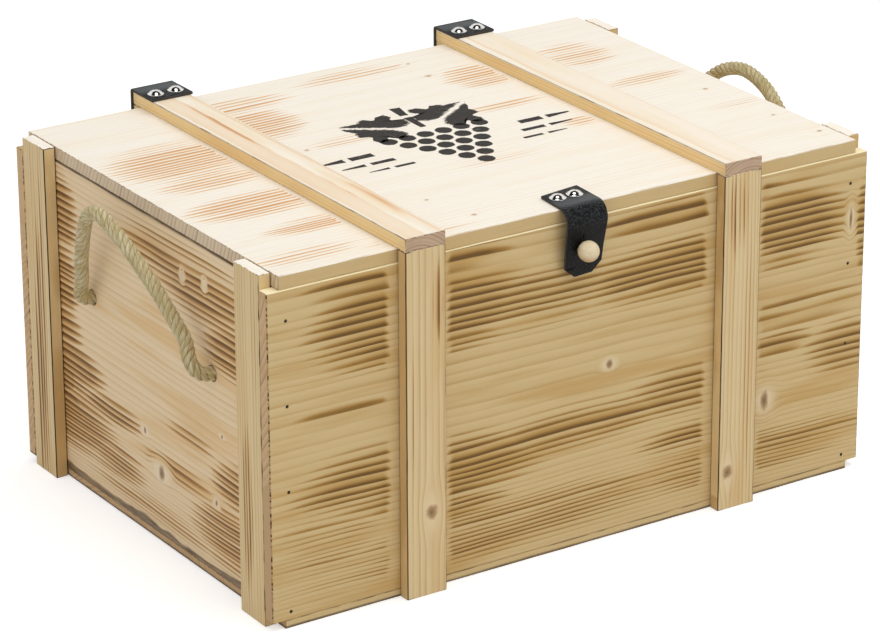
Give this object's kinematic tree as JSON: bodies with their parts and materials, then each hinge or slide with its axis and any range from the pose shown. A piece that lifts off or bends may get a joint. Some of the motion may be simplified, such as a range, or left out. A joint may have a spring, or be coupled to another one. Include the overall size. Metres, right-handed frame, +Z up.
{
  "type": "wooden wine box",
  "caption": "Wooden bottle crate with battens, a hinged lid on leather straps, a leather closure strap over a ball knob, and rope handles at both ends.",
  "frame": {"origin": "middle of the crate's underside, on the surface that it stands on", "axes": "+X along the length to the right seen from the front, the front with the closure strap faces -Y, +Z up"},
  "size_m": [0.5607, 0.3837, 0.2692],
  "materials": {
    "pine_panel": "flame-brushed pine, open pored",
    "pine_lid": "pale planed pine with light scorch streaks",
    "pine_batten": "flame-brushed pine battens",
    "leather": "black pebble-grain leather",
    "nickel_screw": "nickel-plated steel",
    "steel_nail": "bare steel wire",
    "hemp_rope": "twisted hemp rope",
    "knob_wood": "smooth turned hardwood"
  },
  "bodies": {
    "box": {"front_panel": "pine_panel", "back_panel": "pine_panel", "left_end_panel": "pine_panel", "right_end_panel": "pine_panel", "bottom_board": "pine_panel", "front_left_corner_batten": "pine_batten", "front_right_corner_batten": "pine_batten", "back_left_corner_batten": "pine_batten", "back_right_corner_batten": "pine_batten", "front_left_batten": "pine_batten", "front_right_batten": "pine_batten", "back_left_batten": "pine_batten", "back_right_batten": "pine_batten", "front_panel_nails": "steel_nail", "back_panel_nails": "steel_nail", "corner_batten_nails": "steel_nail", "front_batten_nails": "steel_nail", "back_batten_nails": "steel_nail", "bottom_nails": "steel_nail", "left_hinge_lower_leaf": "leather", "right_hinge_lower_leaf": "leather", "hinge_back_screws": "nickel_screw", "closure_knob": "knob_wood", "knob_screw": "steel_nail", "left_rope_ends": "hemp_rope", "right_rope_ends": "hemp_rope"},
    "lid": {"lid_board": "pine_lid", "left_lid_batten": "pine_batten", "right_lid_batten": "pine_batten", "lid_nails": "steel_nail", "left_hinge_upper_leaf": "leather", "right_hinge_upper_leaf": "leather", "hinge_lid_screws": "nickel_screw", "closure_strap_tab": "leather", "closure_screws": "nickel_screw"},
    "closure_flap": {"closure_strap_flap": "leather"},
    "left_handle": {"left_rope_handle": "hemp_rope"},
    "right_handle": {"right_rope_handle": "hemp_rope"}
  },
  "joints": [
    {"name": "lid_hinge", "type": "hinge", "parent": "box", "child": "lid", "pos_m": [0, 0.1852, 0.255], "axis": [-1, 0, 0], "range_deg": [0, 175]},
    {"name": "closure_lift", "type": "hinge", "parent": "lid", "child": "closure_flap", "pos_m": [-0.002, -0.167, 0.2572], "axis": [-1, 0, 0], "range_deg": [0, 100], "deforming": ["closure_strap_flap"]},
    {"name": "left_handle_swing", "type": "hinge", "parent": "box", "child": "left_handle", "pos_m": [-0.2495, 0, 0.156], "axis": [0, -1, 0], "range_deg": [-12, 168]},
    {"name": "right_handle_swing", "type": "hinge", "parent": "box", "child": "right_handle", "pos_m": [0.2495, 0, 0.156], "axis": [0, 1, 0], "range_deg": [-20, 160]}
  ]
}
